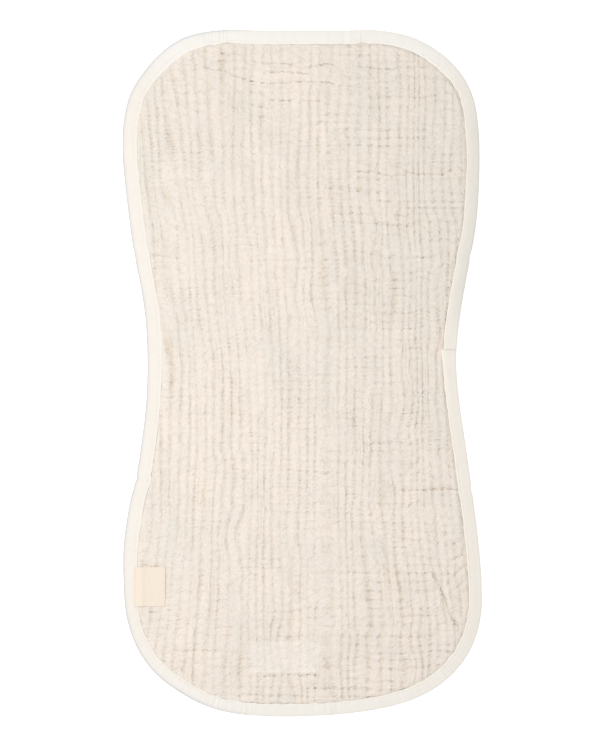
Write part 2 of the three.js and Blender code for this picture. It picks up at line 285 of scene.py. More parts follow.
def cloth_outline():
    """The outline of the cloth, anticlockwise from the lap, from the outermost points of the
    packed binding, which are the only ones at the middle height of its fold. The old folds push
    it in by a bell curve of the distance from each kink."""
    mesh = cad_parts["binding"].data
    points = np.empty(len(mesh.vertices) * 3)
    mesh.vertices.foreach_get("co", points)
    points = points.reshape(-1, 3) / MM
    points = np.unique(points[np.abs(points[:, 2] - EDGE_HEIGHT) < 0.01, :2].round(3), axis=0)
    points = points[np.argsort(np.arctan2(points[:, 1], points[:, 0]))]
    loop = smooth_loop(points, OUTLINE_POINTS)
    from_lap = np.where(loop[:, 0] > 0.0, np.abs(loop[:, 1] - LAP_Y), 1000.0)
    loop = np.roll(loop, -int(np.argmin(from_lap)), axis=0)
    normals = inward_normals(loop)
    for kink in KINKS:
        away = np.hypot(loop[:, 0] - kink.x, loop[:, 1] - kink.y)
        loop = loop + normals * (kink.push * bell(away, 0.0, kink.reach))[:, None]
    return loop


def inset_of(x, y, outline):
    """How far inside the outline each point lies: its offset from the nearest point of the
    outline, measured along the inward normal there."""
    normals = inward_normals(outline)
    rows = []
    for row_x, row_y in zip(x, y):
        nearest = np.argmin((row_x[:, None] - outline[:, 0]) ** 2
                            + (row_y[:, None] - outline[:, 1]) ** 2, axis=1)
        offset = np.column_stack((row_x, row_y)) - outline[nearest]
        rows.append(np.einsum("ij,ij->i", offset, normals[nearest]))
    return np.array(rows)


def beside_run(x, y, points):
    """Distance from each place to the nearest of the straight runs between the points, negative
    on the right of it, and how far along the line that is from the nearer of its two ends."""
    points = np.array(points)
    lengths = np.linalg.norm(np.diff(points, axis=0), axis=1)
    best = np.full(np.shape(x), 1e9)
    reached = np.zeros(np.shape(x))
    done = 0.0
    for (ax, ay), (bx, by), length in zip(points[:-1], points[1:], lengths):
        ux, uy = (bx - ax) / length, (by - ay) / length
        t = np.clip((x - ax) * ux + (y - ay) * uy, 0.0, length)
        away = np.hypot(x - ax - t * ux, y - ay - t * uy)
        side = np.where(ux * (y - ay) - uy * (x - ax) < 0.0, -away, away)
        nearer = away < np.abs(best)
        best = np.where(nearer, side, best)
        reached = np.where(nearer, done + t, reached)
        done += length
    return best, np.minimum(reached, done - reached)


def grid_faces(rows, columns, joined=False):
    """Four-sided faces of a grid of rows by columns points, numbered row by row. With joined, the
    last column meets the first."""
    row = np.arange(rows - 1)[:, None] * columns
    column = np.arange(columns if joined else columns - 1)[None, :]
    ahead = (column + 1) % columns
    faces = np.stack((row + column, row + ahead, row + columns + ahead, row + columns + column), -1)
    return faces.reshape(-1, 4)


def add_piece(name, points, faces, material, smooth=True):
    """A new object at the origin, made from points in millimetres and a list of face arrays."""
    mesh = bpy.data.meshes.new(name)
    corners = np.concatenate([np.reshape(group, -1) for group in faces]).astype(np.int32)
    sizes = np.concatenate([np.full(len(group), np.shape(group)[1]) for group in faces]).astype(np.int32)
    mesh.vertices.add(len(points))
    mesh.vertices.foreach_set("co", (np.asarray(points) * MM).astype(np.float32).reshape(-1))
    mesh.loops.add(len(corners))
    mesh.loops.foreach_set("vertex_index", corners)
    mesh.polygons.add(len(sizes))
    mesh.polygons.foreach_set("loop_start", (np.cumsum(sizes) - sizes).astype(np.int32))
    mesh.update(calc_edges=True)
    mesh.validate()
    mesh.polygons.foreach_set("use_smooth", np.full(len(mesh.polygons), smooth))
    piece = bpy.data.objects.new(name, mesh)
    bpy.context.scene.collection.objects.link(piece)
    piece.data.materials.append(material)
    return piece


def set_attribute(piece, name, values):
    """Stores one number for each point of the piece, for its material to read."""
    attribute = piece.data.attributes.new(name, "FLOAT", "POINT")
    attribute.data.foreach_set("value", np.asarray(values, np.float32).reshape(-1))


def set_point_uv(piece, along, across):
    """A UV map in metres of cloth, from one pair of numbers for each point."""
    layer = piece.data.uv_layers.new(name="cloth")
    corner = np.empty(len(piece.data.loops), np.int32)
    piece.data.loops.foreach_get("vertex_index", corner)
    pairs = np.column_stack((np.reshape(along, -1), np.reshape(across, -1)))[corner] * MM
    layer.data.foreach_set("uv", pairs.astype(np.float32).reshape(-1))


# Materials

class Amount:
    """A number that a material's nodes work out. Adding it to another amount or to a plain number,
    taking one from the other or multiplying them makes the next Math node."""

    def __init__(self, socket):
        self.socket = socket

    def joined(self, operation, other=0.0):
        tree = self.socket.id_data
        node = tree.nodes.new("ShaderNodeMath")
        node.operation = operation
        tree.links.new(self.socket, node.inputs[0])
        if isinstance(other, Amount):
            tree.links.new(other.socket, node.inputs[1])
        else:
            node.inputs[1].default_value = other
        return Amount(node.outputs[0])

    def __add__(self, other):
        return self.joined("ADD", other)

    def __sub__(self, other):
        return self.joined("SUBTRACT", other)

    def __mul__(self, other):
        return self.joined("MULTIPLY", other)

    def __abs__(self):
        return self.joined("ABSOLUTE")


class Finish:
    """A material in the making: its nodes, the coordinates that its patterns read, which are the
    object's own or those of a UV map, and its bumps so far."""

    def __init__(self, name, roughness, sheen, uv_map=None):
        self.material = bpy.data.materials.new(name)
        self.material.use_nodes = True
        self.tree = self.material.node_tree
        self.shader = self.tree.nodes["Principled BSDF"]
        for socket, value in (("Roughness", roughness), ("Specular IOR Level", 0.15),
                              ("Sheen Weight", sheen), ("Sheen Roughness", 0.6)):
            self.shader.inputs[socket].default_value = value
        if uv_map is None:
            self.place = self.node("ShaderNodeTexCoord").outputs["Object"]
        else:
            self.place = self.node("ShaderNodeUVMap", uv_map=uv_map).outputs["UV"]
        self.normal = None

    def node(self, kind, inputs=None, **settings):
        """A new node, with its settings and the values of its unlinked sockets."""
        node = self.tree.nodes.new(kind)
        for key, value in settings.items():
            setattr(node, key, value)
        for key, value in (inputs or {}).items():
            node.inputs[key].default_value = value
        return node

    def read(self, name):
        """The number of that name which the points of the piece carry."""
        return Amount(self.node("ShaderNodeAttribute", attribute_name=name).outputs["Fac"])

    def mapped(self, place=None, **change):
        """The coordinates turned or stretched by a Mapping node."""
        mapping = self.node("ShaderNodeMapping", change)
        self.tree.links.new(self.place if place is None else place, mapping.inputs["Vector"])
        return mapping.outputs[0]

    def noise(self, scale, detail=2.0, roughness=0.5, distortion=0.0, stretch=(1.0, 1.0, 1.0),
              place=None):
        """A Noise texture of that many hills to a metre, stretched along the axes."""
        noise = self.node("ShaderNodeTexNoise", {
            "Scale": scale, "Detail": detail, "Roughness": roughness, "Distortion": distortion})
        self.tree.links.new(self.mapped(place, Scale=stretch), noise.inputs["Vector"])
        return Amount(noise.outputs["Fac"])

    def weave(self, pitch, place=None):
        """Two crossed waves, one thread wide each way, that stand for a plain weave."""
        threads = []
        for direction in ("X", "Y"):
            wave = self.node("ShaderNodeTexWave", {
                "Scale": 0.314 / pitch, "Distortion": 1.2, "Detail": 1.0, "Detail Scale": 0.6},
                wave_type="BANDS", bands_direction=direction, wave_profile="SIN")
            self.tree.links.new(self.place if place is None else place, wave.inputs["Vector"])
            threads.append(Amount(wave.outputs["Fac"]))
        return threads[0] * threads[1]

    def ranged(self, amount, start, end, low, high, kind="LINEAR"):
        """Runs from low to high as the amount runs from start to end."""
        node = self.node("ShaderNodeMapRange", {
            "From Min": start, "From Max": end, "To Min": low, "To Max": high}, interpolation_type=kind)
        self.tree.links.new(amount.socket, node.inputs["Value"])
        return Amount(node.outputs["Result"])

    def near(self, amount, width):
        """1 where the amount is 0, down to 0 at the width to both sides, smoothly."""
        return self.ranged(abs(amount), 0.0, width, 1.0, 0.0, "SMOOTHSTEP")

    def lines(self, count, width):
        """1 on each whole number of the count, down to 0 where the sine of half a turn for each
        reaches the width."""
        return self.near((count * math.pi).joined("SINE"), width)

    def tinted(self, factor, low, high):
        """A colour that runs from low to high as the factor runs from 0 to 1."""
        mix = self.node("ShaderNodeMix", data_type="RGBA", blend_type="MIX")
        self.tree.links.new(factor.socket, mix.inputs[0])
        for socket, value in ((mix.inputs[6], low), (mix.inputs[7], high)):
            if isinstance(value, bpy.types.NodeSocket):
                self.tree.links.new(value, socket)
            else:
                socket.default_value = (*value, 1.0)
        return mix.outputs[2]

    def toned(self, base, factor, high, low=(1.0, 1.0, 1.0)):
        """The base colour times one that runs from low to high as the factor runs from 0 to 1."""
        product = self.node("ShaderNodeMix", {0: 1.0}, data_type="RGBA", blend_type="MULTIPLY")
        self.tree.links.new(base, product.inputs[6])
        self.tree.links.new(self.tinted(factor, low, high), product.inputs[7])
        return product.outputs[2]

    def bump(self, height, distance, strength):
        """Raises the surface by a height from 0 to 1, times that distance in metres, over what is
        bumped so far."""
        node = self.node("ShaderNodeBump", {"Distance": distance, "Strength": strength})
        self.tree.links.new(height.socket, node.inputs["Height"])
        if self.normal is not None:
            self.tree.links.new(self.normal, node.inputs["Normal"])
        self.normal = node.outputs["Normal"]

    def done(self, base):
        """Joins the colour and the bumps to the shader, and gives the material."""
        self.tree.links.new(base, self.shader.inputs["Base Color"])
        if self.normal is not None:
            self.tree.links.new(self.normal, self.shader.inputs["Normal"])
        return self.material


def shaded(colour, factor):
    """The colour with each part times the factor."""
    return tuple(part * factor for part in colour)


def muslin_material(colour):
    """Crinkled cotton muslin. Its fine creases follow the ribs and puffs of the mesh, sharper
    than the mesh can hold them, as dents and as painted shade in a tan tone, which also darkens
    the hollows. The cuts and the rungs between them are dashes in the valleys, and the crests run
    on past them with a painted highlight. The main creases are beaded where they cross a valley,
    with a painted highlight on the ridge below. Painted shade greys some ribs and puffs, random
    patches grey it a little too, and the lower mark is paler inside with a painted highlight
    along its edge. Over them lie streaks along the warp, fine crumpling, fuzz and an open plain
    weave."""
    cloth = Finish("cream_muslin", 0.95, 0.08)
    read = {name: cloth.read(name) for name in MUSLIN_NUMBERS}
    streaks = cloth.noise(130.0, 2.0, 0.6, stretch=(1.0, 0.12, 1.0))
    clouds = cloth.noise(60.0, 3.0, 0.6)
    patches = cloth.noise(14.0, 1.0, 0.4)
    warp = cloth.noise(800.0, 2.0, 0.6, stretch=(1.0, 0.3, 1.0))
    weft = cloth.noise(700.0, 2.0, 0.6, stretch=(0.35, 1.0, 1.0))
    fuzz = warp * 0.5 + weft * 0.5
    crumple = cloth.noise(260.0, 3.0, 0.6, 0.8, stretch=(0.8, 1.1, 1.0))
    folds = abs(cloth.noise(220.0, 1.0, 0.5, 1.2, stretch=(1.0, 0.8, 1.0)) - 0.5)
    waver = cloth.noise(380.0, 3.0, 0.65) - 0.5
    broken = cloth.noise(190.0, 3.0, 0.6)
    partly = cloth.ranged(broken, 0.36, 0.6, 0.35, 1.0)

    slight = waver * 0.6
    band = cloth.lines(read["rib"] + slight, 1.3)
    low_band = band * read["valley_depth"]
    valley = cloth.lines(read["rib"] + slight, 0.80) * read["valley_depth"] * partly
    split = cloth.lines(read["rib"] * 2.0 + slight, 0.95) * read["split"] * partly
    cut = cloth.lines(read["puff"] + slight, 0.66) * read["cut_depth"]
    dash = cut * band
    rung = cloth.lines(read["puff"] * 2.0 + waver, 0.8) * read["half_depth"] * band
    lines, ridges = [], []
    for name in "ab":
        side = waver * 2.4 + (broken - 0.5) * 4.0 + read["side_" + name]
        lines.append(cloth.near(side, 1.0) * read["line_" + name])
        ridges.append(cloth.near(side + 1.7, 1.1) * read["line_" + name])
    line = (lines[0] + lines[1]) * partly * (band * 0.8 + 0.45)

    tone = streaks * 0.3 + clouds * 0.25 + fuzz * 0.45
    base = cloth.tinted(tone, shaded(colour, 0.88), shaded(colour, 1.12))
    # Painted shade from the shade number and beside the valleys, and random grey patches.
    painted_shade_and_patches = read["shade"] * 0.55 + patches * 0.5 + low_band * 0.2
    base = cloth.toned(base, painted_shade_and_patches, (0.93, 0.955, 0.955), (1.015, 1.01, 1.0))
    # Paler inside the lower mark, with a painted highlight along the ridge inside its edge.
    base = cloth.toned(base, read["pressed"], (1.04, 1.065, 1.085))
    # Painted highlight on the ridge below each main crease.
    base = cloth.toned(base, ridges[0] + ridges[1], (1.10, 1.10, 1.09))
    # Painted highlight on the crests, painted shade in the valley bands.
    base = cloth.toned(base, band, (0.992, 0.99, 0.985), (1.015, 1.02, 1.025))
    # Painted shade in a tan tone in the hollows, valleys, cuts, rungs, splits and main creases.
    hollow_and_crease_shade = (read["hollow_shade"] * 0.12 + valley * 0.28 + low_band * 0.08 + cut * 0.05 + dash * 0.38
             + rung * 0.2 + split * 0.18 + line * 0.95)
    tan = tuple(part * warm for part, warm in zip(colour, (0.86, 0.79, 0.66)))
    base = cloth.tinted(hollow_and_crease_shade, base, tan)

    dent = (valley * 0.32 + low_band * 0.08 + cut * 0.2 + dash * 0.45 + rung * 0.25 + split * 0.26
            + line * 1.3)
    cloth.bump(dent * -1.0 + 1.0, 0.0008, 1.0)
    cloth.bump(crumple, 0.0013, 1.0)
    cloth.bump(folds, 0.0012, 0.5)
    cloth.bump(fuzz, 0.0004, 0.7)
    cloth.bump(cloth.weave(0.0006), 0.0001, 0.25)
    return cloth.done(base)


# Amounts that the tape's mesh carries, and the colour that each multiplies the tape by: painted
# shade on the left rim, a painted highlight on the bead, painted cooler light at the top and
# bottom, and painted shade on the upper right.
TAPE_TONES = (("rim_shade", (0.74, 0.77, 0.83)), ("bead_highlight", (1.10, 1.09, 1.05)),
              ("cool_painted_light", (1.03, 1.055, 1.085)), ("upper_right_shade", (0.93, 0.94, 0.935)))


def tape_material(colour):
    """Bias tape: a tight plain weave that runs with the tape's own UV map, with small waves. Its
    fold has painted shade on the left, the sewn bead at its inner edge a painted highlight, its
    top and bottom painted cooler light and its upper right painted shade, and where it is
    gathered it has short puckers across it, with painted light and shade on them."""
    cloth = Finish("off_white_tape", 0.9, 0.06, "cloth")
    bias = cloth.mapped(Rotation=(0.0, 0.0, math.radians(45.0)))
    slubs = cloth.noise(500.0, 2.0, 0.6, stretch=(0.15, 1.0, 1.0), place=bias)
    waves = cloth.noise(160.0, 2.0, 0.5, stretch=(1.0, 0.6, 1.0))
    drawn = cloth.noise(110.0, 2.0, 0.6, stretch=(0.3, 1.8, 1.0))
    puckers = (cloth.noise(400.0, 1.0, 0.5, stretch=(1.0, 0.1, 1.0)) - 0.5) * cloth.read("gathered")
    tone = slubs * 0.4 + waves * 0.3 + drawn * 0.3
    base = cloth.tinted(tone, shaded(colour, 0.94), shaded(colour, 1.055))
    for name, tint in TAPE_TONES:
        base = cloth.toned(base, cloth.read(name), tint)
    # Painted light and shade on the puckers, lighter and darker with their height.
    base = cloth.toned(base, puckers * 1.3 + 0.5, (1.08, 1.08, 1.08), (0.92, 0.92, 0.92))
    cloth.bump(waves, 0.0006, 0.45)
    cloth.bump(puckers, 0.0013, 1.0)
    cloth.bump(cloth.weave(0.00045, bias), 0.0001, 0.4)
    cloth.bump(slubs, 0.00008, 0.4)
    return cloth.done(base)


def ribbon_material(colour):
    """Cotton ribbon: fine threads across it, closer than the muslin's, and a soft warm tone."""
    cloth = Finish("cream_ribbon", 0.85, 0.05, "cloth")
    slubs = cloth.noise(700.0, 2.0, 0.6, stretch=(0.15, 1.0, 1.0))
    base = cloth.tinted(slubs, shaded(colour, 0.97), shaded(colour, 1.03))
    base = cloth.tinted(cloth.read("under_fold"), base, shaded(colour, 1.03))
    cloth.bump(cloth.weave(0.0004), 0.0001, 0.5)
    cloth.bump(slubs, 0.00006, 0.5)
    return cloth.done(base)


def thread_material(colour):
    """Sewing thread, one for all seams: twisted plies as slanted bands, a little shinier than the
    cloth."""
    made = bpy.data.materials.get("sewing_thread")
    if made is not None:
        return made
    thread = Finish("sewing_thread", 0.7, 0.05)
    twist = thread.node("ShaderNodeTexWave", {"Scale": 700.0, "Distortion": 0.5},
                        wave_type="BANDS", bands_direction="DIAGONAL")
    thread.tree.links.new(thread.place, twist.inputs["Vector"])
    plies = Amount(twist.outputs["Fac"])
    thread.bump(plies, 0.00008, 0.5)
    return thread.done(thread.tinted(plies, shaded(colour, 0.94), shaded(colour, 1.03)))


def floor_material(colour):
    """A plain matt floor, a shade uneven so that it isn't one flat colour, and lit a little from
    within, as a light table is, which keeps the shadow round the cloth faint."""
    floor = Finish("pale_floor", 0.9, 0.0)
    floor.shader.inputs["Emission Color"].default_value = (1.0, 1.0, 1.0, 1.0)
    floor.shader.inputs["Emission Strength"].default_value = 0.3
    return floor.done(floor.tinted(floor.noise(3.0), shaded(colour, 0.99), colour))


# The muslin

# Numbers that each point of the muslin carries for its material. Rib and puff count the ribs and
# the rows of puffs, and the depths and split tell how deep their creases are. A side is the
# distance from a main crease, and a line its depth, in two sets so that neighbours don't mix.
# The shade and hollow numbers are painted shade, and pressed a paleness with a painted highlight.
MUSLIN_NUMBERS = ("rib", "puff", "valley_depth", "cut_depth", "half_depth", "split", "hollow_shade",
                  "shade", "pressed", "side_a", "line_a", "side_b", "line_b")


def coons_grid(loop, corners, columns, rows):
    """Points across the inside of a closed loop that is cut into four sides at the corners, given
    as indices of its lower left, lower right, upper right and upper left. Each point is the blend
    of the two side walls plus the blend of the lower and upper edge, less that of the corners."""
    def side(start, end, count):
        if end <= start:
            end += len(loop)
        return even_points(loop[np.arange(start, end + 1) % len(loop)], count)

    lower_left, lower_right, upper_right, upper_left = corners
    lower = side(lower_left, lower_right, columns)
    right = side(lower_right, upper_right, rows)
    upper = side(upper_right, upper_left, columns)[::-1]
    left = side(upper_left, lower_left, rows)[::-1]
    u = np.linspace(0.0, 1.0, columns)[None, :, None]
    v = np.linspace(0.0, 1.0, rows)[:, None, None]
    edges = (1 - v) * lower[None] + v * upper[None]
    walls = (1 - u) * left[:, None] + u * right[:, None]
    ends = ((1 - u) * (1 - v) * lower[0] + u * (1 - v) * lower[-1]
            + (1 - u) * v * upper[0] + u * v * upper[-1])
    return edges + walls - ends


def mark_distance(x, y, mark):
    """Distance outwards from a mark's rectangle, negative inside it."""
    dx = np.abs(x - mark.x) - mark.width / 2
    dy = np.abs(y - mark.y) - mark.height / 2
    outside = np.hypot(np.maximum(dx, 0.0), np.maximum(dy, 0.0))
    return outside + np.minimum(np.maximum(dx, dy), 0.0)


def groove(count):
    """1 at each whole number of the count and 0 halfway between: 1 less the size of the sine of
    half a turn for each, to a power that keeps the crests broad and the valleys sharp."""
    return 1.0 - np.abs(np.sin(np.pi * count)) ** 0.6


def crinkle(x, y, pitch, cell, seed):
    """The crinkle of the muslin: its height, 0 in the deepest hollow to about 1 on a crest, and
    what its material needs to draw the fine creases, by name.

    Ribs run straight up the cloth, some narrow and some wide. Their count is x over the pitch,
    pushed sideways by noise that changes little along the cloth, and grooves lie between them.
    They lean outwards at the left of both lobes and at the right of the lower one, and with the
    left edge above the waist, by smooth steps of y and x added to x before the division. Rows of
    cuts cross them, grooves too, counted by y over the cell length. A row is strong over a few
    ribs and then weak, and it steps a little from rib to rib, eased within the valley. Rungs lie
    halfway between the cuts, each rib leans to one side, some ribs are split along their middle,
    and a pit is sunk where a valley meets a cut. The upper right is crinkled deeper. The shade
    it gives is painted shade: each rib and each puff greyed by its own amount, as their tilt
    would shade them, and both upper corners and the left edge below them greyed a little more."""
    bends = smooth_step(soft_noise(x, y, 38.0, 44.0, seed + 20), 0.0, 0.6)
    lobe = smooth_step(np.abs(y), 90.0, 150.0) * smooth_step(-x, 40.0, 110.0)
    lean = (0.11 * (np.abs(y) - 100.0) * lobe + 3.8 * smooth_step(y, 80.0, 150.0)
            + 9.0 * smooth_step(y, -10.0, 90.0) * smooth_step(-x, -45.0, 75.0)
            - 10.0 * smooth_step(-y, 95.0, 195.0) * smooth_step(x, 5.0, 80.0))
    rib = ((x + lean) / pitch + bends * 0.40 * soft_noise(x, y, 15.0, 26.0, seed + 19)
           + hills(x, y, seed, (0.45, 17.0, 420.0, 0), (0.20, 8.5, 260.0, 22),
                   (0.24, 15.0, 62.0, 1), (0.09, 6.0, 12.0, 2)))
    valley, crest = np.round(rib), np.floor(rib)
    upper_right = bell(x, 90.0, 60.0) * bell(y, 160.0, 80.0)
    valley_depth = np.clip(0.60 + 0.14 * upper_right + 0.46 * soft_noise(valley, y, 1.0, 60.0, seed + 3)
                           + 0.24 * soft_noise(x, y, 5.0, 9.0, seed + 4), 0.18, 1.1)
    ease = smooth_step(rib - valley, -0.25, 0.25)
    before, after = (per_cell(valley + k, valley * 0, seed + 7) for k in (-1, 0))
    loose = 0.10 + 0.5 * smooth_step(soft_noise(x, y, 42.0, 46.0, seed + 6), 0.1, 0.6)
    puff = (y / cell + loose * (before + (after - before) * ease)
            + hills(x, y, seed, (0.50, 240.0, 16.0, 8), (0.22, 42.0, 28.0, 9), (0.07, 8.0, 7.0, 10)))
    row, between = np.round(puff), np.floor(puff)
    valley_depth = valley_depth * (0.72 + 0.5 * per_cell(valley, between, seed + 21))
    region = (0.20 + 0.26 * smooth_step(x + 0.15 * np.abs(y), -70.0, 100.0) + 0.14 * upper_right
              + 0.15 * smooth_step(-y, 130.0, 215.0) + 0.10 * soft_noise(x, y, 30.0, 30.0, seed + 5))
    cut_depth = np.clip(region * (0.75 + 0.85 * soft_noise(x, row, 24.0, 1.0, seed + 11)
                                  + 0.35 * soft_noise(x, y, 6.0, 6.0, seed + 12)), 0.03, 1.0)
    half_depth = smooth_step(soft_noise(x, y, 15.0, 19.0, seed + 13), 0.05, 0.7)
    split = smooth_step(soft_noise(crest, y, 1.0, 34.0, seed + 23), 0.05, 0.7)
    across, along = np.abs(np.sin(np.pi * rib)), np.abs(np.sin(np.pi * puff))
    tilt = soft_noise(crest, y, 1.0, 30.0, seed + 14)
    ridges = 1.0 - 2.0 * np.abs(soft_noise(x, y, 3.6, 2.8, seed + 15))
    height = (1.0 - 0.52 * valley_depth * groove(rib)
              - 0.55 * cut_depth * groove(puff) * (0.95 - 0.55 * across)
              - 0.22 * split * groove(rib + 0.5)
              - 0.20 * half_depth * groove(puff + 0.5) * (1.0 - 0.8 * across)
              - 0.30 * cut_depth * bell(across, 0.0, 0.55) * bell(along, 0.0, 0.4)
              + 0.30 * tilt * (rib - crest - 0.5) * across
              + 0.08 * ridges * (0.7 + 0.5 * soft_noise(x, y, 14.0, 14.0, seed + 16)))
    # Painted shade: grey for each rib and each puff, more at the upper corners and the left edge.
    shade = (0.70 * soft_noise(crest, y, 1.0, 24.0, seed + 17)
             + 0.45 * soft_noise(rib, y, 2.0, 70.0, seed + 24)
             + 0.7 * (per_cell(crest, between, seed + 18) - 0.5)
             + 0.85 * bell(x, 100.0, 55.0) * bell(y, 100.0, 150.0)
             + 0.45 * bell(x, 112.0, 26.0) * bell(y, 168.0, 45.0)
             + 0.60 * bell(x, -108.0, 26.0) * bell(y, 112.0, 60.0)
             + 0.45 * bell(x, -80.0, 50.0) * bell(y, 200.0, 60.0))
    return height, {"rib": rib, "puff": puff, "valley_depth": valley_depth,
                    "cut_depth": cut_depth, "half_depth": half_depth, "split": split, "shade": shade}


def no_lines(shape):
    """The numbers of the main creases where none is near: far to the side, with no depth."""
    return {"side_a": np.full(shape, 99.0), "side_b": np.full(shape, 99.0),
            "line_a": np.zeros(shape), "line_b": np.zeros(shape)}


def muslin_top(x, y, inset, pitch, cell, relief):
    """Heights of the muslin's face, and what its material needs, by name.

    The crinkle stands on a level that rises from the fold of the tape to the puffed middle. The
    marks press it flatter, the lower one inside a low ridge, the creases cut troughs with low
    ridges beside them, and slow waves lift and lower the whole. On the left it swells up to the
    edge of the tape, and on the right a narrow groove stays open there."""
    height, creases = crinkle(x, y, pitch, cell, 20)
    for mark in (LOWER_MARK, UPPER_MARK):
        inside = 1.0 - smooth_step(mark_distance(x, y, mark), -1.5, 2.5)
        height = height + inside * mark.flatness * (0.62 - height)
        for name in ("valley_depth", "cut_depth", "half_depth", "split"):
            creases[name] = creases[name] * (1.0 - inside * mark.flatness)
    off_edge = mark_distance(x, y, LOWER_MARK)
    height = height + 0.20 * bell(off_edge, -0.8, 1.2) - 0.24 * bell(off_edge, 1.7, 1.2)
    # Paler inside the lower mark, and a painted highlight along the ridge just inside its edge.
    creases["pressed"] = 0.5 * (1.0 - smooth_step(off_edge, -1.0, 0.6)) + 0.5 * bell(off_edge, -0.6, 0.8)
    creases.update(no_lines(np.shape(x)))
    cuts = np.zeros(np.shape(x))
    sway = 0.9 * soft_noise(x, y, 12.0, 12.0, 71)
    uneven = 0.75 + 0.5 * soft_noise(x, y, 7.0, 7.0, 72)
    for number, crease in enumerate(CREASES):
        side, from_end = beside_run(x + sway, y + sway, crease.points)
        side = side * 1.5 / crease.width
        away = np.abs(side)
        cuts = cuts + crease.depth * uneven * (bell(away, 0.0, 1.5) - 0.45 * bell(away, 3.0, 1.5))
        line = crease.depth * smooth_step(from_end, 0.0, 4.0) * bell(side, 0.0, 2.0)
        own_set = "ab"[number % 2]
        nearer = away < np.abs(creases["side_" + own_set])
        for name, values in (("side_" + own_set, side), ("line_" + own_set, line)):
            creases[name] = np.where(nearer, values, creases[name])
        calm = 1.0 - np.clip(2.0 * crease.depth, 0.0, 0.9) * smooth_step(from_end, 0.0, 2.0) \
            * np.exp(-(side / 4.0) ** 4)
        for name in ("cut_depth", "half_depth"):
            creases[name] = creases[name] * calm
    tab = Mark((TAB_LEFT + TAB_RIGHT) / 2, (TAB_BOTTOM + TAB_TOP) / 2,
               TAB_RIGHT - TAB_LEFT + 2.0, TAB_TOP - TAB_BOTTOM + 2.0, 1.0)
    under_tab = 1.0 - smooth_step(mark_distance(x, y, tab), 0.0, 3.0)
    waves = 0.22 * soft_noise(x, y, 55.0, 65.0, 73) + 0.12 * soft_noise(x, y, 24.0, 30.0, 74)
    shape = relief * height - cuts + waves
    # Painted shade, deeper where the crinkle is low and in the troughs of the creases.
    creases["hollow_shade"] = np.clip(0.9 - height + 0.8 * np.maximum(cuts, 0.0), 0.0, 1.0)
    free = VALLEY_TOP + np.clip(shape, -0.35, 1.9)
    free = free * (1.0 - under_tab) + np.minimum(free, 2.35) * under_tab
    inset = inset - tape_extra(x, y)
    flush = 1.0 - smooth_step(x, -60.0, 40.0)
    swell = (0.5 + 0.5 * flush) * smooth_step(inset, 9.1, 10.2) * (1.0 - smooth_step(inset, 11.0, 18.0))
    free = POCKET_TOP + (free - POCKET_TOP) * smooth_step(inset, 10.0 - flush, 11.8)
    creases["valley_depth"] = creases["valley_depth"] * (0.5 + 0.5 * smooth_step(inset, 10.5, 14.0))
    creases["hollow_shade"] = creases["hollow_shade"] * smooth_step(inset, 9.5, 13.0)
    return np.maximum(free, POCKET_TOP + swell), creases


def muslin_back(x, y, inset, pitch, cell, relief):
    """Heights of the muslin's underside: the same kind of crinkle turned down, its crests
    touching the surface below, and raised inside the fold of the tape."""
    height, creases = crinkle(x, y, pitch, cell, 220)
    free = np.clip(0.55 * relief * (1.05 - height), 0.0, 0.8)
    drop = smooth_step(inset, 9.9, 12.5)
    # Painted shade where the underside's crinkle is low.
    creases["hollow_shade"] = np.clip(0.9 - height, 0.0, 1.0)
    creases["pressed"] = np.zeros(np.shape(x))
    creases.update(no_lines(np.shape(x)))
    return POCKET_BOTTOM + (free - POCKET_BOTTOM) * drop, creases


def border_indices(rows, columns):
    """Indices of a grid's border points, anticlockwise from its first point."""
    bottom = np.arange(columns)
    right = np.arange(1, rows) * columns + columns - 1
    top = np.arange(columns - 2, -1, -1) + (rows - 1) * columns
    left = np.arange(rows - 2, 0, -1) * columns
    return np.concatenate((bottom, right, top, left))


def muslin_mesh(outline, columns, rows, pitch, cell, relief):
    """Points and faces of the whole panel, and the numbers that its material reads: a fine grid
    for the face, one of half the lines for the underside, and a strip that joins every second
    border point of the first to one of the second."""
    edge = even_loop(outline + inward_normals(outline) * MUSLIN_INSET, len(outline))
    lean = edge / np.array((1.0, 1.9))
    corners = [int(np.argmax(lean @ np.array(way))) for way in ((-1, -1), (1, -1), (1, 1), (-1, 1))]
    top = coons_grid(edge, corners, columns, rows)
    x, y = top[..., 0], top[..., 1]
    inset = inset_of(x, y, outline[::2])
    z, creases = muslin_top(x, y, inset, pitch, cell, relief)
    back_x, back_y, back_inset = x[::2, ::2], y[::2, ::2], inset[::2, ::2]
    back_z, back_creases = muslin_back(back_x, back_y, back_inset, pitch, cell, relief)
    points = np.vstack((np.stack((x, y, z), -1).reshape(-1, 3),
                        np.stack((back_x, back_y, back_z), -1).reshape(-1, 3)))
    first_back = x.size
    fine = border_indices(rows, columns)
    coarse = border_indices(*back_x.shape) + first_back
    start, middle, end = fine[::2], fine[1::2], np.roll(fine[::2], -1)
    low_start, low_end = coarse, np.roll(coarse, -1)
    strip = np.concatenate((np.column_stack((middle, start, low_start)),
                            np.column_stack((end, middle, low_end)),
                            np.column_stack((middle, low_start, low_end))))
    faces = [grid_faces(rows, columns), grid_faces(*back_x.shape)[:, ::-1] + first_back, strip]
    numbers = {name: np.concatenate((creases[name].reshape(-1), back_creases[name].reshape(-1)))
               for name in creases}
    return points, faces, numbers


# The binding

def tape_sides(profile):
    """The outside of the folded tape and its inside, one ply further in, as one closed band."""
    step = np.gradient(profile, axis=0)
    step /= np.linalg.norm(step, axis=1)[:, None]
    inner = profile + TAPE_PLY * np.column_stack((step[:, 1], -step[:, 0]))
    return np.vstack((profile, inner[::-1]))


